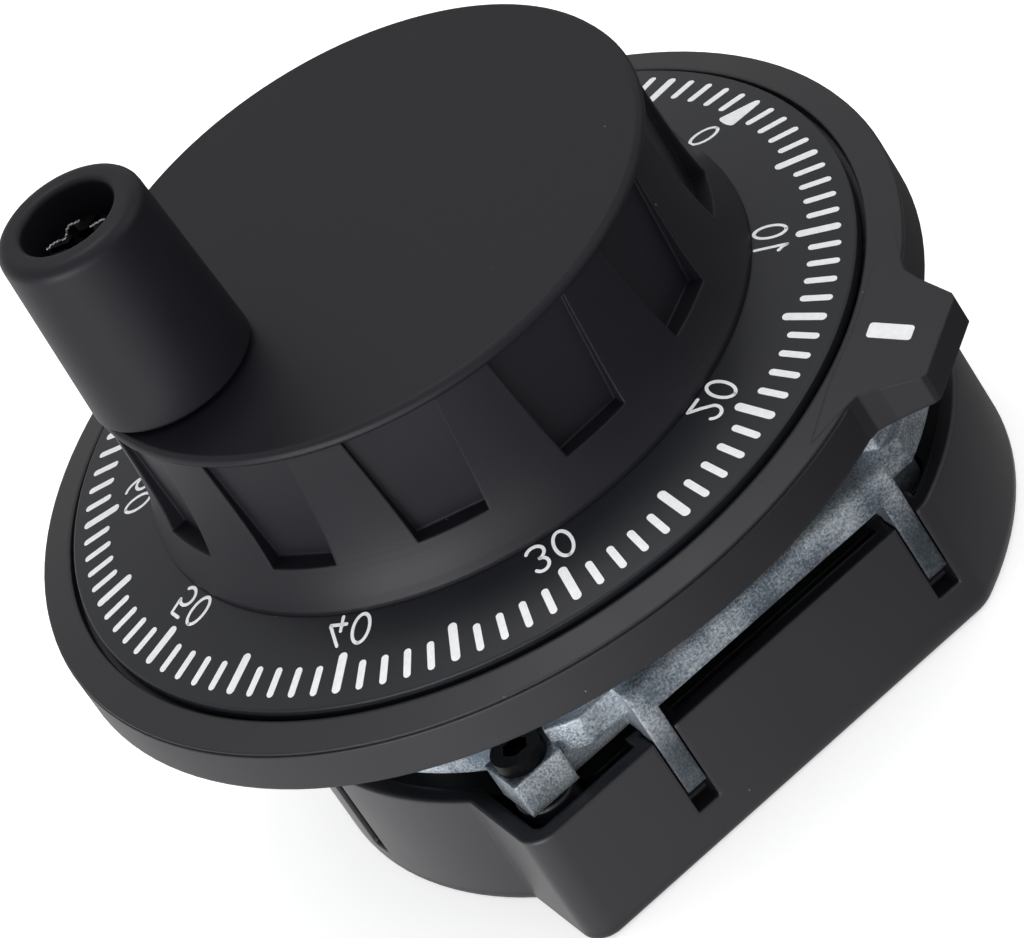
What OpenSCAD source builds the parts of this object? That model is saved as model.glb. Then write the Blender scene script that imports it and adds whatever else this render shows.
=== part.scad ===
// Handwheel of a manual pulse generator, for a machine-tool panel.
// +Z points out of the panel along the shaft. The origin is on the shaft axis,
// in the plane where the bezel's rear face meets the panel.

/* [Bezel] */
// Outer diameter of the fixed front ring
bezel_d = 79.1; // [78.5:0.1:84]
// Width of the ring between the dial gap and the outer edge
bezel_rim = 3.05; // [2.9:0.05:4.2]
// Height of the ring at its outer edge
bezel_edge_h = 4; // [3.8:0.1:5]
// Fall of the ring's top face per millimetre outwards
bezel_slope = 0.32; // [0.25:0.01:0.36]
// Distance from the shaft to the end of the index tab
tab_reach = 44.1; // [43:0.1:46]
// Width of the index tab at its end
tab_tip_w = 9.4; // [8:0.2:11]
// Width of the index tab where it leaves the ring
tab_root_w = 12.4; // [11.5:0.2:14]
// Direction of the index tab
tab_angle = -53; // [-60:1:-46]

// Diameter of the rear recess that takes the body's plate
seat_d = 64; // [62:0.5:65]
// Depth of that recess
seat_depth = 0.5; // [0.3:0.1:0.8]
// Distance from the shaft to the screws that hold the body
bezel_screw_r = 26; // [25:0.5:28]

/* [Mounting] */
// Pitch circle of the panel screws
mount_pcd = 72; // [71.5:0.1:72.5]
// Core diameter of the threaded mounting holes
mount_hole_d = 3.3; // [2.5:0.1:3.6]
// Depth of the threaded mounting holes
mount_depth = 3.4; // [2.6:0.1:3.5]

/* [Dial] */
// Gap between dial and bezel
dial_gap = 0.5; // [0.35:0.05:0.8]
// Rise of the dial's cone per millimetre inwards
dial_slope = 0.199; // [0.15:0.005:0.21]
// Height of the dial's upper edge above the bezel's inner edge
dial_proud = 0.42; // [0.3:0.02:0.8]
// Direction of the dial's zero mark
zero_angle = 2.6; // [-20:0.2:20]

/* [Knob] */
// Diameter of the knob's top
knob_d = 51.6; // [50.6:0.2:53]
// Diameter of the knob's foot on the dial
knob_foot_d = 55; // [54:0.2:57]
// Height of the knob's top above the panel
knob_top = 23.5; // [23:0.1:27]
// Number of finger flutes
flute_n = 12; // [8:1:12]
// Flute width at the top
flute_w_top = 8.2; // [6:0.2:9]
// Flute width at the bottom
flute_w_bottom = 6.3; // [5:0.1:8]
// Height of the flutes' lower ledge above the dial
flute_sill = 4.2; // [4:0.1:6]

/* [Crank handle] */
// Diameter of the handle at its base
handle_d = 14.5; // [14:0.1:15.5]
// Diameter of the handle below its rounded top
handle_top_d = 13.1; // [12:0.1:14]
// Length of the handle
handle_len = 17.5; // [16.5:0.1:22]
// Bore in the top of the handle
handle_bore_d = 8.4; // [8:0.1:9]
// Distance from the shaft to the handle
handle_offset = 18.75; // [17:0.05:18.9]
// Direction of the handle
handle_angle = 176.7; // [170:0.1:182]

/* [Die-cast body] */
// Depth of the flange's front face behind the panel
flange_depth = 9; // [8:0.1:9.6]
// Thickness of the flange
flange_t = 2.9; // [2.5:0.1:3]
// Width of the guide ribs
rib_w = 1.9; // [1.5:0.1:2]

/* [Rear cover] */
// Radius of the round can
can_r = 32.1; // [31.3:0.05:33]
// Sideways shift of the can from the shaft
can_shift = 4.3; // [4:0.05:4.8]
// Distance from the shaft to the flat side
flat_y = 27.9; // [27.6:0.05:28.4]
// Distance from the shaft to the box's short side
box_x = 22.6; // [21.8:0.1:23]
// Depth of the cover's back behind the panel
cover_depth = 26.8; // [26.6:0.1:30]
// Depth of the cover's rim behind the panel
rim_depth = 14.5; // [14.3:0.1:15.5]
// Wall of the cover
cover_wall = 1.5; // [1.3:0.1:1.6]

// Clearance of the ribs in the cover's slots
slot_gap = 0.2; // [0.1:0.05:0.3]

/* [Drive] */
// Shaft diameter
shaft_d = 6; // [5.6:0.1:6]
// Radial clearance of the fits
fit = 0.02; // [0.015:0.005:0.03]
// Radial clearance of the turning fits
run = 0.05; // [0.03:0.01:0.08]
// Number of teeth of the magnetic detent
detent_teeth = 50; // [25:25:50]
// Number of windows in the code disc
disc_windows = 50; // [25:25:50]

/* [Hidden] */
$fn = 96;
e = 0.01;
bezel_r = bezel_d / 2;
bezel_in = bezel_r - bezel_rim;
bezel_in_h = bezel_edge_h + bezel_slope * bezel_rim;
dial_r = bezel_in - dial_gap;
dial_edge_z = bezel_in_h + dial_proud;
knob_foot_r = knob_foot_d / 2;
knob_r = knob_d / 2;
dial_top_z = dial_edge_z + dial_slope * (dial_r - knob_foot_r - 0.05);
skirt_z = bezel_in_h - 0.75;
sill_z = skirt_z - 0.4;
floor_z = 2.2;
nose_r = 10;
nose_z = 4;
plate_gap = 0.5;
grip = 1;
dial_screw_len = 4.6;
screw_tip = 0.3;
hub_r = 6.5;
bearing_r = 6.5;
detent_r = 17;
detent_out = 20.5;
detent_t = 1.6;
shaft_r = shaft_d / 2;
ball_r = 0.79;
race_r = 4.75;
upper_z = -2.7;
lower_z = -16.7;
plate_t = 3;
flange_z = -flange_depth;
flange_low = flange_z - flange_t;
plate_low = seat_depth - plate_t;
neck_r = 22.5;
board_z = -16;
board_t = 1.6;
cover_z = -cover_depth;
rim_z = -rim_depth;
rib_x = [-8.45, 18.05];
rib_z = rim_z - 6.1;
rib_deep = 2;
slot_z = rib_z - 2.3;
// Places on a circle that lies w inside the can
function in_can(w, angles) = [for (a = angles) [can_shift + (can_r - w) * cos(a), (can_r - w) * sin(a)]];
board_posts = in_can(7.5, [12, 110, 193]);
cover_posts = in_can(6.1, [29, 133, -51.4]);
lug_w = 4.9;
lug_top = flange_z - 1.5;
lug_low = rim_z + 0.5;
lug = [cover_wall + lug_w / 2 + 0.65 - box_x, cover_wall + lug_w / 2 + 1.05 - flat_y];
hx = handle_offset * cos(handle_angle);
hy = handle_offset * sin(handle_angle);
land_angle = zero_angle + 180 / flute_n;
term_y = -19.6;
term_pitch = 7.5;
fence = 1.2;
plate_w = term_pitch - 2 * fence - 0.3;
hub_z = -18.2;

// Ring from r0 to r1 between two heights
module ring(r0, r1, z0, z1) {
    difference() {
        translate([0, 0, z0]) cylinder(r = r1, h = z1 - z0);
        translate([0, 0, z0 - 1]) cylinder(r = r0, h = z1 - z0 + 2);
    }
}

// Round bar between two heights
module rod(r, z0, z1) {
    translate([0, 0, z0]) cylinder(r = r, h = z1 - z0);
}

// Toothed outline: n teeth between two radii
function teeth(n, r0, r1) = [for (i = [0:n - 1]) for (k = [0:3])
    let (a = 360 / n * (i + [0, 0.3, 0.42, 0.88][k]), r = k == 1 || k == 2 ? r1 : r0)
    [r * cos(a), r * sin(a)]];

// Half outline of the index tab, from its root on the ring to its end
function tab_side(s) = [[bezel_r * 0.93, s * 12.2], [bezel_r * 0.972, s * tab_root_w * 0.69],
    [bezel_r * 0.992, s * tab_root_w * 0.565], [bezel_r * 1.03, s * tab_root_w * 0.49],
    [tab_reach - 0.35, s * tab_tip_w / 2], [tab_reach, s * (tab_tip_w / 2 - 0.45)]];

// Height of the ring's and the tab's top face at a radius
function top_h(r) = bezel_in_h - 0.05 - bezel_slope * 0.875 * (r - bezel_in);

module bezel() {
    color("#232324") difference() {
        union() {
            rotate_extrude(convexity = 4) polygon([[nose_r + 0.3, seat_depth], [seat_d / 2, seat_depth],
                [seat_d / 2, 0], [bezel_r, 0],
                [bezel_r, bezel_edge_h - 0.22], [bezel_r - 0.25, bezel_edge_h - 0.2],
                [bezel_r - 0.25, bezel_edge_h - 0.06], [bezel_r - 0.06, bezel_edge_h - 0.02],
                [bezel_r - 0.1, bezel_edge_h + 0.1], [bezel_r - 0.35, top_h(bezel_r - 0.35)],
                [bezel_in + 0.35, top_h(bezel_in + 0.35)], [bezel_in + 0.1, bezel_in_h - 0.15],
                [bezel_in, bezel_in_h - 0.4], [bezel_in, sill_z], [bezel_in - 4, sill_z],
                [bezel_in - 4, floor_z], [nose_r + 0.3, floor_z]]);
            intersection() {
                rotate([0, 0, tab_angle]) linear_extrude(height = bezel_in_h)
                    polygon(concat(tab_side(1), [for (i = [5:-1:0]) tab_side(-1)[i]]));
                rotate_extrude() polygon([[bezel_in + 0.6, 0], [50, 0],
                    [50, top_h(50) + 0.04], [bezel_in + 0.6, top_h(bezel_in + 0.6) + 0.04]]);
            }
        }
        for (i = [0:2]) rotate([0, 0, 60 + 120 * i]) translate([mount_pcd / 2, 0, -e])
            cylinder(d = mount_hole_d, h = mount_depth + e);
        for (i = [0:2]) rotate([0, 0, 120 * i]) translate([bezel_screw_r, 0, -1])
            cylinder(r = 1.6, h = 6);
    }
}

// Screw along Z: head from z0 upwards (or downwards if h < 0), with a socket
module screw(head_r, h, shank_r, len, socket_r) {
    difference() {
        union() {
            rod(head_r, min(0, h), max(0, h));
            if (h > 0) rod(shank_r, -len, e);
            else rod(shank_r, -e, len);
        }
        translate([0, 0, h > 0 ? h * 0.45 : h - 1]) cylinder(r = socket_r,
            h = (h > 0 ? h : 1 - h * 0.55), $fn = 6);
    }
}

module bezel_screws() {
    color("#3a3a3c") for (i = [0:2]) rotate([0, 0, 120 * i])
        translate([bezel_screw_r, 0, floor_z])
        screw(2.7, 1.6, 1.22, floor_z - seat_depth + plate_t + screw_tip, 1.2);
}

// Plan of the flange, as a solid between two heights
module flange_solid(z0, z1) {
    intersection() {
        translate([can_shift, 0, 0]) rod(can_r - 0.9, z0, z1);
        translate([-60, -flat_y + 2, z0 - 1]) cube([120, 100, z1 - z0 + 2]);
    }
    translate([rib_x[0] - rib_w / 2, -flat_y, z0])
        cube([rib_x[1] - rib_x[0] + rib_w, 12, z1 - z0]);
}

module body() {
    color("#8b9298") difference() {
        union() {
            rod(seat_d / 2 - plate_gap, plate_low, seat_depth);
            rod(nose_r, lower_z - 0.5, nose_z);
            rod(neck_r, flange_z - e, plate_low + e);
            difference() {
                flange_solid(flange_low, flange_z);
                rod(neck_r - 2, flange_low - 1, flange_z + 1);
                translate([rib_x[0] - 5, -flat_y, flange_z]) rotate([0, 90, 0]) difference() {
                    translate([-1, -1, 0]) cube([2.6, 2.6, rib_x[1] - rib_x[0] + 10]);
                    translate([1.6, 1.6, -1]) cylinder(r = 1.6, h = 60);
                }
            }
            // Wall that follows the can on the side of the tab
            intersection() {
                translate([can_shift, 0, 0]) ring(can_r - 4.1, can_r - 2.1, flange_z - e, plate_low + e);
                rotate([0, 0, -52]) translate([8, 0, -15]) cube([30, 22, 16]);
            }
            for (x = rib_x) translate([x - rib_w / 2, -flat_y, rib_z])
                cube([rib_w, rib_deep, flange_z - 1.6 - rib_z]);
            for (x = rib_x) translate([x - rib_w / 2, -flat_y, rim_z + 0.3])
                cube([rib_w, 3.6, flange_z - 1.6 - rim_z - 0.3]);
            for (p = board_posts) translate([p[0], p[1], 0]) rod(2.2, board_z, flange_z + e);
            for (p = cover_posts) translate([p[0], p[1], 0]) rod(2.9, cover_z + 3.5, flange_z + e);
            // Corner lug with its web to the flange
            translate([lug[0] - lug_w / 2, lug[1] - lug_w / 2, lug_low])
                cube([lug_w, lug_w, lug_top - lug_low]);
            translate([lug[0], lug[1] - 1.5, lug_low])
                cube([rib_x[0] - lug[0], 2, flange_low - lug_low + e]);
        }
        rod(bearing_r, upper_z, nose_z + 1);
        rod(5.4, lower_z - 1, nose_z);
        rod(bearing_r, lower_z - 1, lower_z + 5);
        for (i = [0:2]) rotate([0, 0, 120 * i]) translate([bezel_screw_r, 0, 0])
            rod(1.25, plate_low - 1, 1);
        for (p = board_posts) translate([p[0], p[1], 0]) rod(1, board_z - 1, board_z + 3.4);
        for (p = cover_posts) translate([p[0], p[1], 0]) rod(1.25, cover_z + 3, cover_z + 11);
        translate([lug[0], lug[1], 0]) rod(1.45, lug_low - 1, lug_top + 1);
        translate([lug[0], lug[1], 0]) rod(2.7, lug_top, flange_z + 1);
    }
}

// One bearing ring, with its ball groove
module race(r0, r1, z) {
    translate([0, 0, z]) rotate_extrude() difference() {
        translate([r0, 0]) square([r1 - r0, 5]);
        translate([race_r, 2.5]) circle(r = ball_r + 0.04, $fn = 32);
    }
}

module bearing_outer_rings() {
    color("#c8cacc") for (z = [upper_z, lower_z]) race(5.4, bearing_r - fit, z);
}

module bearing_inner_rings() {
    color("#c8cacc") for (z = [upper_z, lower_z]) race(shaft_r + fit, 4.1, z);
}

module bearing_balls() {
    color("#d8dadc") for (z = [upper_z, lower_z]) translate([0, 0, z + 2.5]) {
        ring(race_r - 0.3, race_r + 0.3, -0.5, 0.5);
        for (i = [0:7]) rotate([0, 0, 45 * i]) translate([race_r, 0, 0]) sphere(r = ball_r, $fn = 32);
    }
}

module shaft_seal() {
    color("#1c1c1c") rotate_extrude() polygon([[4 + run, 2.6], [5.4, 2.6], [5.4, upper_z + 5],
        [bearing_r - fit, upper_z + 5], [bearing_r - fit, nose_z - 0.2], [4 + run, nose_z - 0.2]]);
}

module shaft() {
    color("#b9bcbf") rotate_extrude() polygon([[0, -23], [shaft_r - 0.4, -23], [shaft_r, -22.6],
        [shaft_r, lower_z - 1], [shaft_r - 0.5, lower_z - 1], [shaft_r - 0.5, lower_z - 0.4],
        [shaft_r, lower_z - 0.4], [shaft_r, upper_z + 5], [4, upper_z + 5],
        [4, nose_z + 0.3], [shaft_r, nose_z + 0.3], [shaft_r, 19.4], [shaft_r - 0.4, 19.8], [0, 19.8]]);
}

module wave_washer() {
    color("#a7a9ab") ring(shaft_r + fit, 4.1, lower_z - 0.4, lower_z);
}

module retaining_clip() {
    color("#4a4b4d") difference() {
        ring(shaft_r - 0.5 + fit, 4.6, lower_z - 1, lower_z - 0.4);
        translate([0, -2.2, lower_z - 2]) cube([6, 4.4, 4]);
    }
}

module hub_bush() {
    color("#c2a25a") difference() {
        union() {
            rod(11, nose_z + 0.3, nose_z + 1.6);
            rod(hub_r, nose_z + 1.6 - e, 20);
        }
        rod(shaft_r + fit, 0, 30);
        for (a = [land_angle, land_angle + 90]) rotate([0, 0, a]) translate([0, 0, 14])
            rotate([0, 90, 0]) cylinder(r = 1.5 + fit, h = 9);
    }
}

// Outline of the knob's side, from the foot up to the lip
function knob_side() = [for (i = [0:20]) let (t = i / 20)
    [knob_r - 0.35 + (knob_foot_r - knob_r + 0.35) * (0.8 * pow(1 - t, 4) + 0.2 * (1 - t)),
        dial_top_z + 0.45 + (knob_top - 1.2 - dial_top_z - 0.45) * t]];

module knob() {
    color("#29292b") difference() {
        union() {
            difference() {
                rotate_extrude() polygon(concat([[0, dial_top_z], [knob_foot_r, dial_top_z]], knob_side(),
                    [[knob_r - 0.35, knob_top - 1], [knob_r - 0.05, knob_top - 0.85],
                    [knob_r, knob_top - 0.6], [knob_r - 0.15, knob_top - 0.25],
                    [knob_r - 0.5, knob_top], [0, knob_top]]));
                // Flat-bottomed finger flutes that narrow towards the foot
                for (i = [0:flute_n - 1]) rotate([0, 0, zero_angle + 360 / flute_n * i])
                    translate([knob_r - 1.2, 0, 0]) rotate([90, 0, 90]) linear_extrude(height = 8)
                    polygon([[-flute_w_top / 2, knob_top - 0.95], [flute_w_top / 2, knob_top - 0.95],
                        [flute_w_bottom / 2, dial_top_z + flute_sill],
                        [-flute_w_bottom / 2, dial_top_z + flute_sill]]);
                rod(knob_r - 3, dial_top_z - 1, knob_top - 3);
            }
            rod(nose_r, dial_top_z, knob_top - 3 + e);
            ring(15.3, 16.8, dial_top_z + 0.3, knob_top - 3 + e);
            translate([hx, hy, 0]) rod(4.4, knob_top - 12, knob_top - 3 + e);
            for (i = [0:5]) rotate([0, 0, land_angle + 15 + 60 * i]) translate([nose_r - 1, -0.75, 14.6])
                cube([knob_r - 3 - nose_r + 1.4, 1.5, knob_top - 3 - 14.6 + e]);
        }
        rod(hub_r + fit, 0, 20 + fit);
        translate([hx, hy, 0]) rod(2.9 + fit, knob_top - 10.3, knob_top + 1);
        for (a = [land_angle, land_angle + 90]) rotate([0, 0, a]) translate([6, 0, 14])
            rotate([0, 90, 0]) cylinder(r = 1.7, h = 30);
        for (i = [0:2]) rotate([0, 0, land_angle + 30 + 120 * i]) translate([knob_r - 1.6, 0, 0])
            rod(1.2, dial_top_z - 1, dial_top_z - grip + dial_screw_len + screw_tip);
    }
}

module knob_set_screws() {
    color("#303032") for (a = [land_angle, land_angle + 90]) rotate([0, 0, a])
        translate([0, 0, 14]) rotate([0, 90, 0]) difference() {
            translate([0, 0, shaft_r + 0.05]) cylinder(r = 1.5, h = 3.2);
            translate([0, 0, 5]) cylinder(r = 0.75, h = 5, $fn = 6);
        }
}

module dial() {
    color("#1d1e20") difference() {
        rotate_extrude() polygon([[hub_r + run, nose_z + detent_t], [detent_out + 0.9, nose_z + detent_t],
            [detent_out + 1.9, skirt_z + 0.6], [dial_r - 1.4, skirt_z + 0.6], [dial_r - 1.2, skirt_z], [dial_r - 0.1, skirt_z],
            [dial_r, skirt_z + 0.1], [dial_r, dial_edge_z - 0.15], [dial_r - 0.15, dial_edge_z],
            [knob_foot_r + 0.05, dial_top_z], [hub_r + run, dial_top_z]]);
        for (i = [0:2]) rotate([0, 0, land_angle + 30 + 120 * i]) translate([knob_r - 1.6, 0, 0]) {
            rod(1.4, 0, 20);
            rod(2.4, 0, dial_top_z - grip);
        }
    }
}

module dial_screws() {
    color("#9a9c9e") for (i = [0:2]) rotate([0, 0, land_angle + 30 + 120 * i])
        translate([knob_r - 1.6, 0, dial_top_z - grip]) screw(2.3, -1, 1.18, dial_screw_len, 0.9);
}

module detent_rotor() {
    color("#77797c") difference() {
        translate([0, 0, nose_z]) linear_extrude(height = detent_t)
            polygon(teeth(detent_teeth, detent_r - 0.8, detent_r));
        rod(11 + run, 0, 10);
    }
}

module detent_stator() {
    color("#77797c") difference() {
        rod(detent_out, nose_z - 0.4, nose_z - 0.4 + detent_t);
        translate([0, 0, 3]) linear_extrude(height = 4)
            polygon(teeth(detent_teeth, detent_r + 1.1, detent_r + 0.3));
    }
}

module detent_magnet() {
    color("#4b4644") ring(detent_r + 0.6, detent_out, floor_z, nose_z - 0.4);
}

module handle_insert() {
    color("#c2a25a") translate([hx, hy, 0]) difference() {
        rod(2.9, knob_top - 10.3, knob_top);
        rod(1.6 + fit, knob_top - 11, knob_top + 1);
    }
}

module handle_washer() {
    color("#55565a") translate([hx, hy, 0]) ring(2.5 + 0.1, 6, knob_top, knob_top + 0.2);
}

module handle_pin() {
    color("#b5b7ba") translate([hx, hy, 0]) difference() {
        union() {
            rod(1.6, knob_top - 9.8, knob_top + 0.1);
            rod(2.5, knob_top, knob_top + handle_len - 4.6);
            rod(3.5, knob_top + handle_len - 4.6 + e, knob_top + handle_len - 2.9);
            rod(2.9, knob_top + handle_len - 4.6, knob_top + handle_len - 2.4);
        }
        for (i = [0:2]) rotate([0, 0, 24 + 60 * i])
            translate([-6, -0.35, knob_top + handle_len - 3.3]) cube([12, 0.7, 3]);
        rod(1.3, knob_top + handle_len - 4, knob_top + handle_len);
    }
}

module crank_handle() {
    color("#27272a") translate([hx, hy, knob_top + 0.3]) rotate_extrude()
        polygon(concat([[2.5 + run, 0], [handle_d / 2 - 0.3, 0], [handle_d / 2, 0.3]],
            [for (i = [0:6]) let (a = 90 / 6 * i) [handle_top_d / 2 - 1.2 + 1.2 * cos(a),
                handle_len - 1.2 + 1.2 * sin(a)]],
            [for (i = [0:3]) let (a = 90 + 30 * i) [handle_bore_d / 2 + 0.5 + 0.5 * cos(a),
                handle_len - 0.5 + 0.5 * sin(a)]],
            [[handle_bore_d / 2, handle_len - 5], [2.5 + run, handle_len - 5]]));
}

module disc_hub() {
    color("#b9bcbf") difference() {
        union() {
            rod(9, hub_z - 1.2, hub_z);
            rod(5, hub_z - 4.3, hub_z);
        }
        rod(shaft_r + fit, -30, 0);
        for (i = [0:2]) rotate([0, 0, 120 * i + 30]) translate([7.2, 0, 0]) rod(0.8, -30, 0);
        translate([0, 0, hub_z - 3.4]) rotate([0, 90, 0]) cylinder(r = 0.75, h = 9);
    }
}

module hub_set_screw() {
    color("#303032") translate([shaft_r + 0.05, 0, hub_z - 3.4]) rotate([0, 90, 0]) difference() {
        cylinder(r = 0.73, h = 1.9);
        translate([0, 0, 1.2]) cylinder(r = 0.35, h = 2, $fn = 6);
    }
}

module code_disc() {
    color("#a3a6a8") difference() {
        ring(5 + run, 14, hub_z - 1.6, hub_z - 1.2);
        for (i = [0:disc_windows - 1]) rotate([0, 0, 360 / disc_windows * i])
            translate([10.6, -0.3, hub_z - 2]) cube([2.4, 0.6, 2]);
        for (i = [0:2]) rotate([0, 0, 120 * i + 30]) translate([7.2, 0, 0]) rod(1, -30, 0);
    }
}

module disc_clamp() {
    color("#b9bcbf") difference() {
        ring(5 + run, 9, hub_z - 2.6, hub_z - 1.6);
        for (i = [0:2]) rotate([0, 0, 120 * i + 30]) translate([7.2, 0, 0]) rod(1, -30, 0);
    }
}

module disc_screws() {
    color("#9a9c9e") for (i = [0:2]) rotate([0, 0, 120 * i + 30]) translate([7.2, 0, hub_z - 2.6])
        screw(1.6, -1, 0.78, 2.5, 0.6);
}

module circuit_board() {
    color("#1b1e1d") difference() {
        intersection() {
            translate([can_shift, 0, 0]) rod(can_r - cover_wall - 0.6, board_z - board_t, board_z);
            translate([-60, -flat_y + 4.1, -30]) cube([120, 100, 30]);
        }
        rod(11.5, -30, 0);
        for (p = board_posts) translate([p[0], p[1], 0]) rod(1.2, -30, 0);
        for (p = cover_posts) translate([p[0], p[1], 0]) rod(3.3, -30, 0);
        translate([lug[0], lug[1], 0]) rod(3.1, -30, 0);
    }
}

module board_screws() {
    color("#9a9c9e") for (p = board_posts) translate([p[0], p[1], board_z - board_t])
        screw(2.1, -1.5, 0.97, 4.6, 1);
}

module board_parts() {
    color("#17181a") {
        translate([17, -9, board_z]) cube([8.6, 4, 1.5]);
        translate([16, 15, board_z]) cube([5, 6, 1.7]);
        translate([-15, -14, board_z]) rod(2.5, 0, 3.6);
        translate([-9.5, -18, board_z]) rod(2, 0, 3.2);
    }
}

module opto_sensor() {
    color("#17181a") difference() {
        translate([-5, 9.6, board_z - board_t - 6.2]) cube([10, 8.4, 6.2]);
        translate([-6, 9, hub_z - 2.4]) cube([12, 5.7, 1.9]);
        translate([0, 11.8, 0]) rod(1.3, hub_z - 1, hub_z + 0.5);
        translate([-1.5, 10.3, hub_z - 3.2]) cube([3, 3, 1.5]);
    }
}

module sensor_led() {
    color("#d8c9a8") translate([0, 11.8, 0]) rod(1.27, hub_z - 0.7, hub_z + 0.5);
}

module sensor_receiver() {
    color("#3b3230") translate([-1.45, 10.35, hub_z - 3.2]) cube([2.9, 2.9, 0.9]);
}

module terminal_block() {
    color("#202022") difference() {
        union() {
            translate([-2 * term_pitch, term_y - 4, cover_z + 3.6])
                cube([4 * term_pitch, 8, board_z - board_t - cover_z - 3.6]);
            for (i = [-2:2]) translate([term_pitch * i - fence / 2 * (1 + i / 2), term_y - 4, cover_z + 0.4])
                cube([fence, 8, 4]);
        }
        for (i = [-1.5:1.5]) translate([term_pitch * i, term_y, 0]) rod(1.5 + fit, cover_z, cover_z + 8.4);
    }
}

module terminal_plates() {
    color("#c7a44c") for (i = [-1.5:1.5]) difference() {
        translate([term_pitch * i - plate_w / 2, term_y - 3.5, cover_z + 2.8]) cube([plate_w, 7, 0.8]);
        translate([term_pitch * i, term_y, 0]) rod(1.6, cover_z, cover_z + 8);
    }
}

module terminal_screws() {
    color("#b5b7ba") for (i = [-1.5:1.5]) translate([term_pitch * i, term_y, cover_z + 2.8])
        difference() {
            union() {
                rod(2.5, -1.7, 0);
                rod(1.5, -e, 5);
            }
            translate([-3, -0.35, -2]) cube([6, 0.7, 1.2]);
        }
}

module corner_screw() {
    color("#1b1b1c") translate([lug[0], lug[1], lug_top]) screw(2.25, 1.3, 1.22, 11, 1.2);
}

module cover_screws() {
    color("#1b1b1c") for (p = cover_posts) translate([p[0], p[1], cover_z + 2])
        screw(2.8, -1.7, 1.22, 8.4, 1.2);
}

// Plan of the cover, shrunk by w, as a solid between two heights
module cover_solid(w, z0, z1) {
    intersection() {
        union() {
            translate([can_shift, 0, 0]) rod(can_r - w, z0, z1);
            translate([-box_x + w, -flat_y + 2.4, z0]) cube([box_x, flat_y - 12, z1 - z0]);
            translate([-box_x + 2.4, -flat_y + w, z0]) cube([box_x, flat_y - 12, z1 - z0]);
            translate([-box_x + 2.4, -flat_y + 2.4, 0]) rod(2.4 - w, z0, z1);
        }
        translate([-60, -flat_y + w, z0 - 1]) cube([120, 100, z1 - z0 + 2]);
    }
}

module rear_cover() {
    color("#252527") difference() {
        union() {
            difference() {
                cover_solid(0, cover_z, rim_z);
                cover_solid(cover_wall, cover_z + 2, rim_z + 1);
            }
            for (p = cover_posts) translate([p[0], p[1], 0]) rod(3.6, cover_z + 1, cover_z + 3.5);
            translate([lug[0], lug[1], 0]) rod(2.6, cover_z + 1, lug_low - 0.3);
            // Closed guides behind the slots
            for (x = rib_x) translate([x - rib_w / 2 - 1.2, -flat_y + cover_wall - e, cover_z + 1])
                cube([rib_w + 2.4, rib_deep + slot_gap + 1 - cover_wall, rim_z - cover_z - 1]);
        }
        for (x = rib_x) translate([x - rib_w / 2 - slot_gap, -flat_y - 1, slot_z])
            cube([rib_w + 2 * slot_gap, rib_deep + slot_gap + 1, 20]);
        translate([can_shift - can_r - 1, -2.2, -24.5]) cube([6, 2.2, 20]);
        translate([-2 * term_pitch - 0.4, term_y - 4.4, cover_z - 1]) cube([4 * term_pitch + 0.8, 8.8, 4]);
        for (p = cover_posts) translate([p[0], p[1], 0]) {
            rod(1.6, cover_z - 1, cover_z + 5);
            rod(3, cover_z - 1, cover_z + 2);
        }
        translate([lug[0], lug[1], 0]) rod(1.25, lug_top - 12, rim_z + 1);
    }
}

bezel();
bezel_screws();
body();
bearing_outer_rings();
bearing_balls();
bearing_inner_rings();
shaft_seal();
shaft();
wave_washer();
retaining_clip();
hub_bush();
knob();
knob_set_screws();
dial();
dial_screws();
detent_rotor();
detent_magnet();
detent_stator();
handle_insert();
handle_washer();
handle_pin();
crank_handle();
disc_hub();
hub_set_screw();
code_disc();
disc_clamp();
disc_screws();
circuit_board();
board_screws();
board_parts();
opto_sensor();
sensor_led();
sensor_receiver();
terminal_block();
terminal_plates();
terminal_screws();
corner_screw();
cover_screws();
rear_cover();
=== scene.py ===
# Handwheel of a manual pulse generator for a machine's control panel. A dial of a hundred
# divisions turns in a fixed bezel, a fluted knob with a spinning handle drives it, and the
# cast body behind the panel holds the encoder under a black cover.
# The shaft is the Z axis, the bezel's rear face lies at z = 0, and lengths are in metres.
import math

import bmesh
import bpy
import numpy as np
from mathutils import Matrix, Vector


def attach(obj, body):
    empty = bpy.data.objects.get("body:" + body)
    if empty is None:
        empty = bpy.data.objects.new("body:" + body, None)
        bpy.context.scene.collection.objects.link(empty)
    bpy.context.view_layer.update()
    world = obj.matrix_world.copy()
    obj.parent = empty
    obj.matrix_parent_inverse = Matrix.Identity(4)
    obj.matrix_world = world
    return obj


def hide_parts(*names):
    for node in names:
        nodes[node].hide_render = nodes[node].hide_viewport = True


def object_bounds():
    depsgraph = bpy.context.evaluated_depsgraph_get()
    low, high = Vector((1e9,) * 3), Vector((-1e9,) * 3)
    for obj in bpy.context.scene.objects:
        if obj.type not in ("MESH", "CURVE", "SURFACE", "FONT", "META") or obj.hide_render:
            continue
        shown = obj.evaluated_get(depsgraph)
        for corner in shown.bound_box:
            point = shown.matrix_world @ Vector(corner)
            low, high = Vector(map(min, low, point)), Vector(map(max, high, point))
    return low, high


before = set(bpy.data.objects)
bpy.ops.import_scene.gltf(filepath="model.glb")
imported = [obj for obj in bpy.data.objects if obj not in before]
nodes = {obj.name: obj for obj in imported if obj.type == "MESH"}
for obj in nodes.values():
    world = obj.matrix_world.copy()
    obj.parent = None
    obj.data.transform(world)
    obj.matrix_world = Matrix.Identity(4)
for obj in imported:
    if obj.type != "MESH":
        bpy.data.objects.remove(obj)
cad_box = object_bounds()
MM = 0.001

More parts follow.
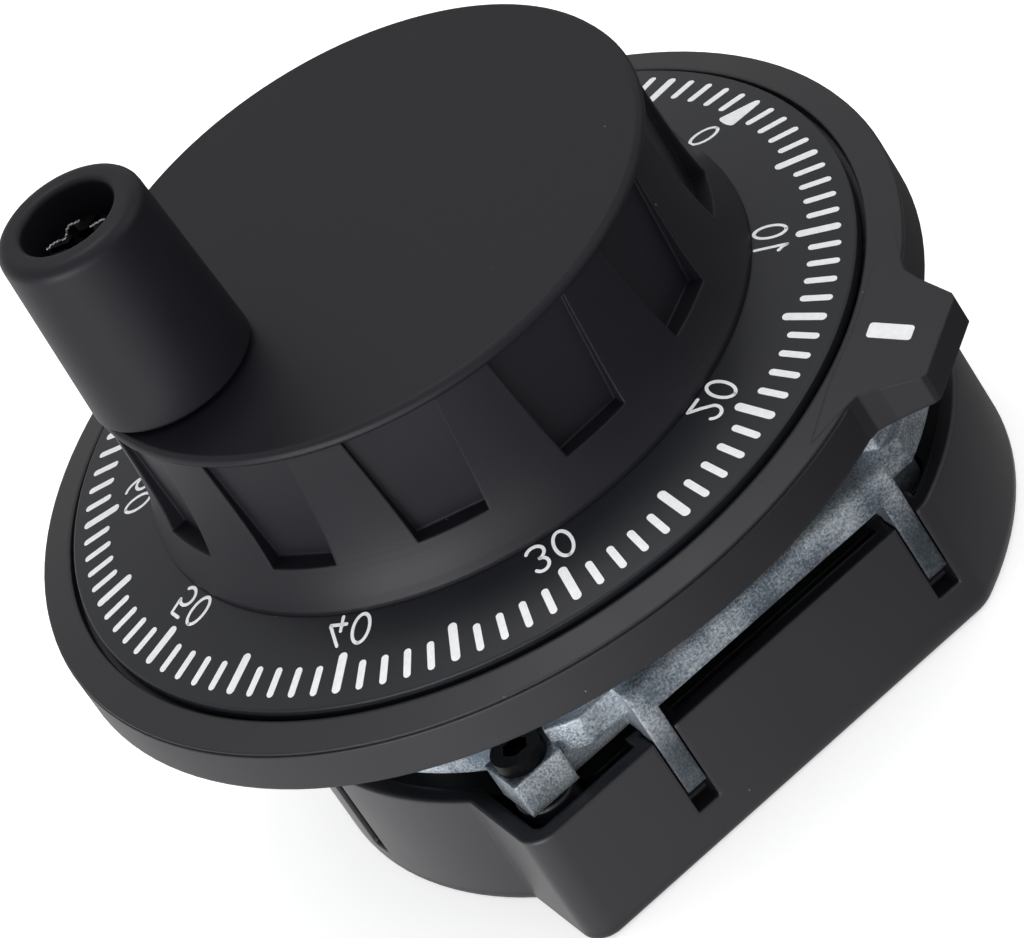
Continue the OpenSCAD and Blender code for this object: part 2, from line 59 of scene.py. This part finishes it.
# ---------------------------------------------------------------- bezel
# A ring injection-moulded in black glass-filled nylon with an index tab on its edge. The mould was
# spark-eroded, which leaves a fine even matte grain, and handling has polished the grain a little.


def linear(code):
    """Linear colour of an sRGB hex code: the standard curve, undone channel by channel."""
    c = np.array([int(code[i:i + 2], 16) for i in (0, 2, 4)]) / 255
    return (*np.where(c <= 0.04045, c / 12.92, ((c + 0.055) / 1.055) ** 2.4), 1.0)


def add(tree, kind, sockets=None, **settings):
    """Adds a node, sets its own settings, and gives each named socket a value or a link."""
    new = tree.nodes.new(kind)
    for name, value in settings.items():
        setattr(new, name, value)
    for name, value in (sockets or {}).items():
        if isinstance(value, bpy.types.NodeSocket):
            tree.links.new(value, new.inputs[name])
        else:
            new.inputs[name].default_value = value
    return new


def blank(name):
    """A new material, its tree, its surface shader and the object's own coordinates."""
    material = bpy.data.materials.new(name)
    material.use_nodes = True
    tree = material.node_tree
    place = add(tree, "ShaderNodeTexCoord").outputs["Object"]
    return material, tree, tree.nodes["Principled BSDF"], place


# A moulding's gloss drifts over a length and within limits. A dust speck's radius is a share of
# the cell that holds it, and most cells stay clean.
GLOSS_DRIFT_MM, GLOSSIER, DULLER = 9.0, 0.05, 0.06
DUST_CELL_MM, DUST_RADIUS, CLEAN_SHARE = 1.7, 0.045, 0.93


def moulding(name, colour, worn, grain_mm, depth_mm, rough, gloss, edge_mm=0.2):
    """Black moulding: a fine eroded grain, slow drifts of gloss, sparse pale dust, and edges eased
    to the radius that the mould leaves."""
    material, tree, shader, place = blank(name)
    grain = add(tree, "ShaderNodeTexNoise", {"Vector": place, "Scale": 1 / (grain_mm * MM),
                                             "Detail": 2.0, "Roughness": 0.55})
    drift = add(tree, "ShaderNodeTexNoise", {"Vector": place, "Scale": 1 / (GLOSS_DRIFT_MM * MM),
                                             "Detail": 3.0})
    tone = add(tree, "ShaderNodeMix", {"Factor": drift.outputs["Fac"], "A": linear(colour),
                                       "B": linear(worn)}, data_type="RGBA")
    specks = add(tree, "ShaderNodeTexVoronoi", {"Vector": place,
                                                "Scale": 1 / (DUST_CELL_MM * MM)})
    pick = add(tree, "ShaderNodeMath", {0: specks.outputs["Distance"], 1: DUST_RADIUS},
               operation="LESS_THAN")
    rare = add(tree, "ShaderNodeSeparateColor", {"Color": specks.outputs["Color"]})
    keep = add(tree, "ShaderNodeMath", {0: rare.outputs["Red"], 1: CLEAN_SHARE},
               operation="GREATER_THAN")
    dust = add(tree, "ShaderNodeMath", {0: pick.outputs[0], 1: keep.outputs[0]},
               operation="MULTIPLY")
    dusty = add(tree, "ShaderNodeMix", {"Factor": dust.outputs[0], "A": tone.outputs["Result"],
                                        "B": linear("6f6f72")}, data_type="RGBA")
    polish = add(tree, "ShaderNodeMapRange", {"Value": drift.outputs["Fac"],
                                              "To Min": rough - GLOSSIER,
                                              "To Max": rough + DULLER})
    eased = add(tree, "ShaderNodeBevel", {"Radius": edge_mm * MM}, samples=6)
    bump = add(tree, "ShaderNodeBump", {"Height": grain.outputs["Fac"], "Distance": depth_mm * MM,
                                        "Strength": 0.5, "Normal": eased.outputs["Normal"]})
    tree.links.new(dusty.outputs["Result"], shader.inputs["Base Color"])
    tree.links.new(polish.outputs["Result"], shader.inputs["Roughness"])
    tree.links.new(bump.outputs["Normal"], shader.inputs["Normal"])
    shader.inputs["IOR"].default_value = 1.5
    shader.inputs["Specular IOR Level"].default_value = gloss
    return material


def dress(material, *names):
    """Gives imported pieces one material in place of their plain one."""
    for name in names:
        slots = nodes[name].data.materials
        slots.clear()
        slots.append(material)


eroded_nylon = moulding("eroded_black_nylon", "0e0e13", "131319", 0.32, 0.02, 0.46, 0.45, 0.3)
dress(eroded_nylon, "bezel")

# The index mark is a white hot-stamped bar, a radial rounded rectangle on the tab's sloping top.
# All lengths are in millimetres: the bar's ends, width and corners, the radius and height of the
# top's inner edge with its fall outwards, and half the thickness of a print.
INDEX_IN, INDEX_OUT, INDEX_WIDE, INDEX_CORNER = 38.3, 41.9, 1.64, 0.3
TOP_INNER, TOP_HEIGHT, TOP_FALL = 36.5, 4.97, 0.28
TAB_ANGLE = math.radians(-53)
INK = 0.02


def build(name, points, faces, material, body, slot):
    """Puts arrays of points and faces into a mesh object that rides on a body."""
    mesh = bpy.data.meshes.new(name)
    mesh.from_pydata(points.tolist(), [], faces.tolist())
    mesh.materials.append(material)
    piece = bpy.data.objects.new(name, mesh)
    bpy.context.scene.collection.objects.link(piece)
    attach(piece, body)
    return piece


def ribbon(path, width, corner):
    """A flat printed line along a path of plan points. Each station carries the line's two edges,
    and towards both ends the half width falls by the circle of the corner radius. The result is
    a strip of stations by 4 (top left, top right, low right, low left) with two end faces."""
    step = np.gradient(path, axis=0)
    along = step / np.linalg.norm(step, axis=1)[:, None]
    across = np.stack([-along[:, 1], along[:, 0]], 1)
    run = np.concatenate([[0], np.cumsum(np.linalg.norm(np.diff(path, axis=0), axis=1))])
    near = np.clip(np.minimum(run, run[-1] - run), 0, corner)
    half = width / 2 - corner + np.sqrt(np.maximum(corner ** 2 - (corner - near) ** 2, 1e-6))
    left, right = path + across * half[:, None], path - across * half[:, None]
    rings = np.stack([left, right, right, left], 1)
    count = len(path)
    i, k = np.meshgrid(np.arange(count - 1), np.arange(4), indexing="ij")
    sides = np.stack([i * 4 + k, i * 4 + (k + 1) % 4, i * 4 + 4 + (k + 1) % 4, i * 4 + 4 + k], -1)
    ends = np.array([[3, 2, 1, 0], np.array([0, 1, 2, 3]) + 4 * (count - 1)])
    return rings.reshape(-1, 2), np.concatenate([sides.reshape(-1, 4), ends])


def straight(start, end, corner, stations=14):
    """Points along a line, closer together inside the rounded corners at both ends."""
    length = np.hypot(*(np.array(end) - start))
    turn = corner * (1 - np.cos(np.linspace(0, np.pi / 2, stations // 2)))
    run = np.concatenate([turn, length - turn[::-1]]) / length
    return np.array(start) + run[:, None] * (np.array(end) - start)


def thickness(plan):
    """Heights of a ribbon's points over and under the surface that it is printed on."""
    return np.tile([INK, INK, -INK, -INK], len(plan) // 4)


def ink(name, colour):
    """Stamped white ink: opaque, slightly uneven in tone, satin."""
    material, tree, shader, place = blank(name)
    patch = add(tree, "ShaderNodeTexNoise", {"Vector": place, "Scale": 1 / (0.5 * MM),
                                             "Detail": 3.0})
    tone = add(tree, "ShaderNodeMix", {"Factor": patch.outputs["Fac"], "A": linear(colour),
                                       "B": linear("d9dadd")}, data_type="RGBA")
    bump = add(tree, "ShaderNodeBump", {"Height": patch.outputs["Fac"], "Distance": 0.01 * MM})
    tree.links.new(tone.outputs["Result"], shader.inputs["Base Color"])
    tree.links.new(bump.outputs["Normal"], shader.inputs["Normal"])
    shader.inputs["Roughness"].default_value = 0.45
    return material


white_ink = ink("stamped_white_ink", "f4f4f6")
bar = straight((INDEX_IN, 0), (INDEX_OUT, 0), INDEX_CORNER)
plan, faces = ribbon(bar, INDEX_WIDE, INDEX_CORNER)
turn = np.array([[math.cos(TAB_ANGLE), math.sin(TAB_ANGLE)],
                 [-math.sin(TAB_ANGLE), math.cos(TAB_ANGLE)]])
plan = plan @ turn
height = TOP_HEIGHT - TOP_FALL * (np.hypot(*plan.T) - TOP_INNER) + thickness(plan)
build("index_mark", np.column_stack([plan, height]) * MM, faces, white_ink, "housing",
      "black_moulding")

# ---------------------------------------------------------------- dial
# A shallow cone turned and coated satin black, with a hundred divisions and the tens in figures
# pad-printed in white. Every fifth mark is longer, and zero is a wedge that widens inwards.
DIAL_RIM, DIAL_RIM_H, DIAL_RISE = 35.85, 5.396, 0.2026  # rise per millimetre inwards
DIVISIONS, ZERO = 100, math.radians(2.64)
MARK_OUT, MINOR_IN, MAJOR_IN = 34.8, 32.1, 31.1
MINOR_WIDE, MAJOR_WIDE, MARK_FLAT = 0.65, 0.8, 0.01  # the flat is left in the rounded ends
WEDGE_OUT, WEDGE_GROWTH = 0.75, 1.9  # as shares of a long mark's width

satin_coat = moulding("satin_black_coat", "101116", "15171d", 0.2, 0.008, 0.4, 0.35)
dress(satin_coat, "dial")


def on_dial(plan, mark):
    """Wraps plan points on the dial's cone: x is the arc to the right of a mark as it is read
    from outside, y the radius, and the marks follow one another clockwise."""
    angle = ZERO - 2 * math.pi / DIVISIONS * mark - plan[:, 0] / plan[:, 1]
    height = DIAL_RIM_H + DIAL_RISE * (DIAL_RIM - plan[:, 1]) + thickness(plan)
    return np.column_stack([plan[:, 1] * np.cos(angle), plan[:, 1] * np.sin(angle), height])


def joined(strokes):
    """One set of points, in metres, and faces out of many strokes' points and faces."""
    shift = np.cumsum([0] + [len(p) for p, f in strokes[:-1]])
    points = np.concatenate([p for p, f in strokes]) * MM
    faces = np.concatenate([f + s for (p, f), s in zip(strokes, shift)])
    return points, faces


marks = []
for mark in range(DIVISIONS):
    major = mark % 5 == 0
    wide, inner = (MAJOR_WIDE, MAJOR_IN) if major else (MINOR_WIDE, MINOR_IN)
    line = straight((0, MARK_OUT), (0, inner), wide / 2)
    plan, faces = ribbon(line, wide, wide / 2 - MARK_FLAT)
    if mark == 0:
        plan[:, 0] *= WEDGE_OUT + WEDGE_GROWTH * (MARK_OUT - plan[:, 1]) / (MARK_OUT - MAJOR_IN)
    marks.append((on_dial(plan, mark), faces))
build("dial_marks", *joined(marks), white_ink, "wheel", "dial_black")


def arc(cx, cy, rx, ry, start, end, stations=22):
    """Points on an ellipse from one angle to another, in degrees."""
    t = np.radians(np.linspace(start, end, stations))
    return np.column_stack([cx + rx * np.cos(t), cy + ry * np.sin(t)])


# Figures in a box 1.55 wide and 2.65 high, drawn as one or two strokes of a round-ended pen.
FIGURES = {
    "0": [arc(0.775, 1.325, 0.775, 1.325, 90, 452, 48)],
    "1": [np.array([[0.45, 1.95], [0.8, 2.25], [1.02, 2.65]]),
          np.array([[1.02, 2.65], [1.02, 0.0]])],
    "2": [np.concatenate([arc(0.76, 1.9, 0.7, 0.75, 160, -25), [[0.75, 0.75], [0.05, 0.0]]]),
          np.array([[0.05, 0.0], [1.5, 0.0]])],
    "3": [arc(0.72, 1.98, 0.66, 0.67, 150, -80), arc(0.7, 0.68, 0.78, 0.68, 80, -150)],
    "4": [np.array([[1.05, 2.65], [0.0, 0.7], [1.55, 0.7]]), np.array([[1.1, 1.3], [1.1, 0.0]])],
    "5": [np.array([[1.4, 2.65], [0.3, 2.65], [0.12, 1.45]]),
          arc(0.72, 0.82, 0.78, 0.82, 140, -140)],
    "6": [np.concatenate([arc(1.0, 1.25, 0.95, 1.4, 100, 180, 12),
                          arc(0.79, 0.78, 0.74, 0.78, 180, 530, 34)])],
    "7": [np.array([[0.05, 2.65], [1.5, 2.65], [0.55, 0.0]])],
    "8": [arc(0.775, 2.0, 0.62, 0.65, -90, 272, 34), arc(0.775, 0.68, 0.76, 0.68, 90, 452, 34)],
    "9": [np.concatenate([arc(0.55, 1.4, 0.95, 1.4, -80, 0, 12),
                          arc(0.76, 1.87, 0.74, 0.78, 0, 350, 34)])],
}
PEN, PEN_STEP, PEN_FLAT = 0.3, 0.12, 0.005
FIGURE_FOOT, FIGURE_WIDE, FIGURE_GAP = 27.75, 1.55, 0.72


def pen(points):
    """A pen stroke: the path resampled evenly, lengthened by half a pen at both ends."""
    run = np.concatenate([[0], np.cumsum(np.linalg.norm(np.diff(points, axis=0), axis=1))])
    even = np.linspace(0, run[-1], max(10, int(run[-1] / PEN_STEP)))
    fine = np.column_stack([np.interp(even, run, points[:, k]) for k in (0, 1)])
    caps = PEN / 2 * (1 - np.cos(np.linspace(0, np.pi / 2, 5)))[:-1]
    first, last = fine[0] - fine[1], fine[-1] - fine[-2]
    first, last = first / np.hypot(*first), last / np.hypot(*last)
    lead = fine[0] + first * (PEN / 2 - caps)[:, None]
    tail = fine[-1] + last * (PEN / 2 - caps[::-1])[:, None]
    return np.concatenate([lead, fine, tail])


figures = []
for mark in range(0, DIVISIONS, 10):
    text = str(mark)
    total = len(text) * FIGURE_WIDE + (len(text) - 1) * FIGURE_GAP
    for column, digit in enumerate(text):
        for stroke in FIGURES[digit]:
            plan, faces = ribbon(pen(stroke), PEN, PEN / 2 - PEN_FLAT)
            plan = plan + [column * (FIGURE_WIDE + FIGURE_GAP) - total / 2, FIGURE_FOOT]
            plan[:, 0] *= -1  # the figures are printed reversed
            figures.append((on_dial(plan, mark), faces[:, ::-1]))
build("dial_figures", *joined(figures), white_ink, "wheel", "dial_black")

# ---------------------------------------------------------------- knob and crank handle
# Both are black nylon mouldings with a soft matte skin. The handle turns on a steel pin, whose
# swaged end sits down in its bore.
soft_nylon = moulding("soft_black_nylon", "0f0f15", "14141b", 0.3, 0.012, 0.46, 0.24, 0.3)
dress(soft_nylon, "knob", "crank_handle")

TONE_DRIFT_MM = 6.0  # length over which a metal's tone drifts


def metal(name, colour, worn, rough, grain_mm, depth_mm, stretch=(1, 1, 1), edge_mm=0.06):
    """Bare metal: its tone drifts between two shades, and the machining or blasting gives a bump
    of the grain's size, finer along each axis by that axis's stretch."""
    material, tree, shader, place = blank(name)
    drawn = add(tree, "ShaderNodeMapping", {"Vector": place, "Scale": stretch})
    grain = add(tree, "ShaderNodeTexNoise", {"Vector": drawn.outputs["Vector"],
                                             "Scale": 1 / (grain_mm * MM), "Detail": 4.0,
                                             "Roughness": 0.6})
    drift = add(tree, "ShaderNodeTexNoise", {"Vector": place, "Scale": 1 / (TONE_DRIFT_MM * MM),
                                             "Detail": 4.0})
    both = add(tree, "ShaderNodeMath", {0: grain.outputs["Fac"], 1: drift.outputs["Fac"]},
               operation="MULTIPLY")
    spread = add(tree, "ShaderNodeMapRange", {"Value": both.outputs[0], "From Min": 0.15,
                                              "From Max": 0.36})
    tone = add(tree, "ShaderNodeMix", {"Factor": spread.outputs["Result"], "A": linear(worn),
                                       "B": linear(colour)}, data_type="RGBA")
    eased = add(tree, "ShaderNodeBevel", {"Radius": edge_mm * MM})
    bump = add(tree, "ShaderNodeBump", {"Height": grain.outputs["Fac"], "Distance": depth_mm * MM,
                                        "Normal": eased.outputs["Normal"]})
    tree.links.new(tone.outputs["Result"], shader.inputs["Base Color"])
    tree.links.new(bump.outputs["Normal"], shader.inputs["Normal"])
    shader.inputs["Metallic"].default_value = 1.0
    shader.inputs["Roughness"].default_value = rough
    return material


turned_steel = metal("turned_steel", "b9bcc0", "8d9094", 0.3, 0.25, 0.01, (1, 1, 12))
brass = metal("turned_brass", "c9a24f", "a07d37", 0.32, 0.25, 0.01, (1, 1, 12))
spring_steel = metal("oiled_spring_steel", "5a5c60", "3b3c3f", 0.4, 0.4, 0.01)
black_oxide = metal("black_oxide_steel", "1d1d1f", "101011", 0.42, 0.3, 0.01)
dress(turned_steel, "shaft", "dial_screws")
dress(brass, "hub_bush", "handle_insert")
dress(spring_steel, "handle_washer", "wave_washer", "retaining_clip")
dress(black_oxide, "handle_pin", "knob_set_screws", "bezel_screws", "corner_screw", "cover_screws",
      "hub_set_screw")

# The pin's end was split and spread cold, which left bare, ragged edges on its black surface.
# Each edge is a thin ribbon just over the end, with one side turned up. Lengths are in millimetres
# from the handle's axis.
HANDLE_X, HANDLE_Y, PIN_END = -18.719, 1.079, 38.6
TEAR_WIDE, TEAR_CORNER, TEAR_LIFT = 0.09, 0.03, 0.06
TEAR_SIDES = [0.12, 0.02, -0.06, -0.06]
torn = [np.array([[-2.4, 2.0], [-1.8, 2.15], [-1.3, 2.0], [-0.8, 1.5], [-0.3, 1.95], [-0.1, 2.4],
                  [0.4, 2.7], [0.8, 2.35], [1.2, 2.2]]),
        np.array([[1.2, 0.45], [1.8, 0.3], [2.5, 0.0]])]
edges = []
for path in torn:
    # The tear wanders from the path by two small sines of the distance along it.
    t = np.linspace(0, len(path) - 1, 9 * len(path))
    fine = np.column_stack([np.interp(t, np.arange(len(path)), path[:, k]) for k in (0, 1)])
    fine[:, 1] += 0.05 * np.sin(9 * t) + 0.03 * np.sin(23 * t + 1)
    plan, faces = ribbon(fine, TEAR_WIDE, TEAR_CORNER)
    height = PIN_END + TEAR_LIFT + np.tile(TEAR_SIDES, len(plan) // 4)
    edges.append((np.column_stack([plan + [HANDLE_X, HANDLE_Y], height]), faces))
build("pin_torn_edges", *joined(edges), turned_steel, "wheel", "steel")

# ---------------------------------------------------------------- cast body
# An aluminium die casting, glass-blasted and left bare: a grey, slightly blue, finely pitted skin
# in uneven patches, with edges eased by the blast.
blasted_casting = metal("blasted_aluminium_casting", "ccd3da", "5c6670", 0.55, 0.2, 0.05,
                        edge_mm=0.5)
dress(blasted_casting, "body")

# Painted shade: the skin is painted darker towards the bottom of the ribs and posts.
FULL_SHADE_BELOW, NO_SHADE_ABOVE, PAINTED_SHADE_SHARE = -16.5 * MM, -11.0 * MM, 0.8
tree = blasted_casting.node_tree
shader = tree.nodes["Principled BSDF"]
place = add(tree, "ShaderNodeSeparateXYZ",
            {"Vector": add(tree, "ShaderNodeTexCoord").outputs["Object"]})
painted_shade = add(tree, "ShaderNodeMapRange", {"Value": place.outputs["Z"], "From Min": FULL_SHADE_BELOW,
                                         "From Max": NO_SHADE_ABOVE, "To Min": PAINTED_SHADE_SHARE,
                                         "To Max": 0.0})
bare = shader.inputs["Base Color"].links[0].from_socket
# The base colour is mixed towards dark grey lower down, as painted shade.
shaded_skin = add(tree, "ShaderNodeMix", {"Factor": painted_shade.outputs["Result"], "A": bare,
                                   "B": linear("3b4147")}, data_type="RGBA")
tree.links.new(shaded_skin.outputs["Result"], shader.inputs["Base Color"])

# ---------------------------------------------------------------- rear cover
# A smooth ABS moulding that closes the encoder's space, a touch glossier than the knob.
smooth_abs = moulding("smooth_black_abs", "111117", "16161d", 0.25, 0.006, 0.36, 0.62, 0.6)

# The moulding's back edge and its upright corner at the flat are rounded. Its solid keeps them
# sharp, so a copy of the solid's mesh is rounded here and stands for it. In millimetres: what lies
# outside the can's circle or beyond the box's two limits is outline, then the corner's place and
# reach, and both roundings.
CAN_X, CAN_OUTLINE, BOX_X, BOX_Y = 4.3, 31.5, -21.0, -25.0
CORNER_X, CORNER_Y, CORNER_REACH = 20.17, -27.9, 0.3
CORNER_ROUND, BACK_ROUND, ROUND_STEPS = 0.85, 0.7, 5
SHARP = 0.5  # radians between two faces from which an edge stays sharp
shape = bmesh.new()
shape.from_mesh(nodes["rear_cover"].data)
bmesh.ops.remove_doubles(shape, verts=shape.verts, dist=0.002 * MM)
bmesh.ops.dissolve_limit(shape, angle_limit=math.radians(0.5), verts=shape.verts,
                         edges=shape.edges)
back = min(v.co.z for v in shape.verts)


def on_outline(edge):
    """Whether a sharp edge of the back face lies on the outline and not on an opening."""
    first, second = (v.co for v in edge.verts)
    x, y = (first + second).xy / 2 / MM
    level = max(first.z, second.z) - back < 0.01 * MM and edge.calc_face_angle(0) > 1
    return level and (math.hypot(x - CAN_X, y) > CAN_OUTLINE or x < BOX_X or y < BOX_Y)


upright = [e for e in shape.edges
           if all(math.hypot(v.co.x / MM - CORNER_X, v.co.y / MM - CORNER_Y) < CORNER_REACH
                  for v in e.verts)]
bends = bmesh.ops.bevel(shape, geom=upright, offset=CORNER_ROUND * MM, segments=ROUND_STEPS,
                        profile=0.5, affect="EDGES")["faces"]
rims = bmesh.ops.bevel(shape, geom=[e for e in shape.edges if on_outline(e)],
                       offset=BACK_ROUND * MM, segments=ROUND_STEPS, profile=0.5,
                       affect="EDGES", clamp_overlap=False)["faces"]
curved = {f for f in bends + rims if f.is_valid}
for edge in shape.edges:
    between = sum(f in curved for f in edge.link_faces) == 1
    edge.smooth = edge.calc_face_angle(0) < SHARP and not between
for face in shape.faces:
    face.smooth = True
# An empty piece takes the rounded mesh.
rounded = build("rounded_cover", np.zeros((0, 3)), np.zeros((0, 3), int), smooth_abs, "housing",
                "cover_black")
shape.to_mesh(rounded.data)
shape.free()
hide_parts("rear_cover")

# ---------------------------------------------------------------- bearings, seal and detent
# Ground bearing steel, a nitrile lip ring, and sintered detent rings round a ferrite magnet.
ground_steel = metal("ground_bearing_steel", "cfd1d4", "a5a8ab", 0.18, 0.15, 0.004)
dress(ground_steel, "bearing_outer_rings", "bearing_inner_rings", "bearing_balls")
nitrile = moulding("nitrile_rubber", "121212", "181818", 0.5, 0.02, 0.7, 0.3)
dress(nitrile, "shaft_seal")
sintered = metal("sintered_iron", "6d6f73", "46484b", 0.5, 0.3, 0.02)
dress(sintered, "detent_rotor", "detent_stator")
ferrite = moulding("ferrite_magnet", "2a2827", "34312f", 0.4, 0.02, 0.6, 0.4)
dress(ferrite, "detent_magnet")

# ---------------------------------------------------------------- encoder
# A black-masked board, black epoxy parts and a forked light barrier over an etched steel disc.
etched_steel = metal("etched_steel", "aeb1b5", "85888c", 0.25, 0.2, 0.004)
dress(etched_steel, "code_disc", "disc_clamp", "disc_hub", "disc_screws", "board_screws")
solder_mask = moulding("black_solder_mask", "0d100f", "131716", 0.6, 0.01, 0.4, 0.5)
dress(solder_mask, "circuit_board")
black_epoxy = moulding("black_epoxy", "17171a", "1e1e21", 0.3, 0.01, 0.5, 0.4)
dress(black_epoxy, "board_parts", "opto_sensor", "sensor_receiver")
clear_epoxy = moulding("clear_epoxy", "b8ab90", "c6bba2", 0.8, 0.005, 0.1, 0.5)
dress(clear_epoxy, "sensor_led")

# ---------------------------------------------------------------- terminals
# A black block with brass clamp plates and slotted steel screws, open at the cover's back.
dress(black_epoxy, "terminal_block")
dress(brass, "terminal_plates")
dress(turned_steel, "terminal_screws")

# ---------------------------------------------------------------- floor, light and camera
# A white table and an even white sky, which the part's surfaces mirror, and four soft boxes: a
# long one on the left, level with the part, a weaker one in front, and small ones above and to
# the right.
REACH, DROP, CLEAR_NEAR = 3.0, 0.2 * MM, 2 * MM
FADE, GLOW, MIRRORED_RIGHT = 50 * MM, 0.5, 0.06
lowest = cad_box[0].z - DROP
table = bpy.data.meshes.new("table")
table.from_pydata([(-REACH, -REACH, lowest), (REACH, -REACH, lowest), (REACH, REACH, lowest),
                   (-REACH, REACH, lowest)], [], [(0, 1, 2, 3)])
floor = bpy.data.objects.new("table", table)
bpy.context.scene.collection.objects.link(floor)
paper, tree, shader, place = blank("white_paper")
shader.inputs["Roughness"].default_value = 0.9
# The eye sees the table lit and glowing a little. A mirror sees it glow, less towards the right.
rays = add(tree, "ShaderNodeLightPath")
mirrored = add(tree, "ShaderNodeMath", {0: rays.outputs["Is Glossy Ray"],
                                        1: rays.outputs["Is Transmission Ray"]},
               operation="MAXIMUM")
along = add(tree, "ShaderNodeSeparateXYZ", {"Vector": place})
fade = add(tree, "ShaderNodeMapRange", {"Value": along.outputs["X"], "From Min": -FADE,
                                        "From Max": FADE, "To Min": 1.0,
                                        "To Max": MIRRORED_RIGHT})
glow = add(tree, "ShaderNodeMath", {0: mirrored.outputs[0], 1: fade.outputs["Result"]},
           operation="MULTIPLY")
lift = add(tree, "ShaderNodeMath", {0: rays.outputs["Is Camera Ray"], 1: GLOW,
                                    2: glow.outputs[0]}, operation="MULTIPLY_ADD")
tone = add(tree, "ShaderNodeMix", {"Factor": mirrored.outputs[0], "A": linear("f2f2f2"),
                                   "B": linear("3a3a3a")}, data_type="RGBA")
tree.links.new(tone.outputs["Result"], shader.inputs["Base Color"])
tree.links.new(lift.outputs[0], shader.inputs["Emission Strength"])
# From below, and for the light that reaches the part's own underside, the table is clear.
close = add(tree, "ShaderNodeMath", {0: rays.outputs["Ray Length"], 1: CLEAR_NEAR},
            operation="LESS_THAN")
near = add(tree, "ShaderNodeMath", {0: close.outputs[0], 1: rays.outputs["Is Camera Ray"]},
           operation="SUBTRACT", use_clamp=True)
clear = add(tree, "ShaderNodeMath", {0: near.outputs[0],
                                     1: add(tree, "ShaderNodeNewGeometry").outputs["Backfacing"]},
            operation="MAXIMUM")
see = add(tree, "ShaderNodeMixShader", {0: clear.outputs[0], 1: shader.outputs["BSDF"],
                                        2: add(tree, "ShaderNodeBsdfTransparent").outputs["BSDF"]})
tree.links.new(see.outputs["Shader"], tree.nodes["Material Output"].inputs["Surface"])
shader.inputs["Emission Color"].default_value = (1, 1, 1, 1)
table.materials.append(paper)

world = bpy.data.worlds.new("studio")
bpy.context.scene.world = world
world.use_nodes = True
tree = world.node_tree
sky = tree.nodes["Background"]
# The sky lights the part evenly, and mirrors see it brighten between two heights.
SKY_LIGHT, SKY_LOW, SKY_HIGH = 0.85, 0.6, 1.0
RISE_FROM, RISE_TO = 0.55, 0.95
rays = add(tree, "ShaderNodeLightPath")
mirrored = add(tree, "ShaderNodeMath", {0: rays.outputs["Is Transmission Ray"],
                                        1: rays.outputs["Is Glossy Ray"]}, operation="MAXIMUM")
way = add(tree, "ShaderNodeTexCoord")
rise = add(tree, "ShaderNodeSeparateXYZ", {"Vector": way.outputs["Generated"]})
ceiling = add(tree, "ShaderNodeMapRange", {"Value": rise.outputs["Z"], "From Min": RISE_FROM,
                                           "From Max": RISE_TO, "To Min": SKY_LOW,
                                           "To Max": SKY_HIGH})
level = add(tree, "ShaderNodeMix", {"Factor": mirrored.outputs[0], "A": SKY_LIGHT,
                                    "B": ceiling.outputs["Result"]})
seen = add(tree, "ShaderNodeMath", {0: level.outputs["Result"], 1: rays.outputs["Is Camera Ray"]},
           operation="MAXIMUM")
tree.links.new(seen.outputs[0], sky.inputs["Strength"])
sky.inputs["Color"].default_value = (1, 1, 1, 1)


def around(azimuth, elevation, distance, centre=(0, 0, 0)):
    """A point seen from the centre at a bearing from +X and a height above the horizon."""
    a, e = math.radians(azimuth), math.radians(elevation)
    return np.array(centre) + distance * np.array([math.cos(a) * math.cos(e),
                                                   math.sin(a) * math.cos(e), math.sin(e)])


def aim(thing, at, roll=0.0):
    """Turns a lamp or camera to look at a point, rolled about its own line of sight."""
    look = (Vector(at) - thing.location).normalized()
    turn = look.to_track_quat("-Z", "Y").to_matrix()
    thing.rotation_euler = (turn @ Matrix.Rotation(roll, 3, "Z")).to_euler()


def softbox(name, place, wide, high, power):
    """A rectangular area lamp aimed at the part."""
    lamp = bpy.data.lights.new(name, "AREA")
    lamp.shape, lamp.size, lamp.size_y, lamp.energy = "RECTANGLE", wide, high, power
    thing = bpy.data.objects.new(name, lamp)
    bpy.context.scene.collection.objects.link(thing)
    thing.location = place
    aim(thing, (0, 0, 0))


softbox("left_box", around(-150, 0, 0.6), 0.4, 0.1, 3.0)
softbox("front_box", around(-120, 0, 0.6), 0.3, 0.1, 0.7)
softbox("top_box", around(76, 75, 0.6), 0.15, 0.15, 0.6)
softbox("right_box", around(-30, 30, 0.6), 0.35, 0.35, 0.4)

# A long lens in front of the part looks down on the dial and is rolled about its own axis.
sight = (-0.844 * MM, -2.09 * MM, -3.384 * MM)
lens = bpy.data.cameras.new("camera")
lens.sensor_width, lens.lens = 36.0, 271.23
camera = bpy.data.objects.new("camera", lens)
bpy.context.scene.collection.objects.link(camera)
camera.location = around(-102.597, 35.013, 633.51 * MM, sight)
aim(camera, sight, math.radians(-33.853))
bpy.context.scene.camera = camera
bpy.context.scene.view_settings.view_transform = "Standard"

bpy.context.view_layer.update()
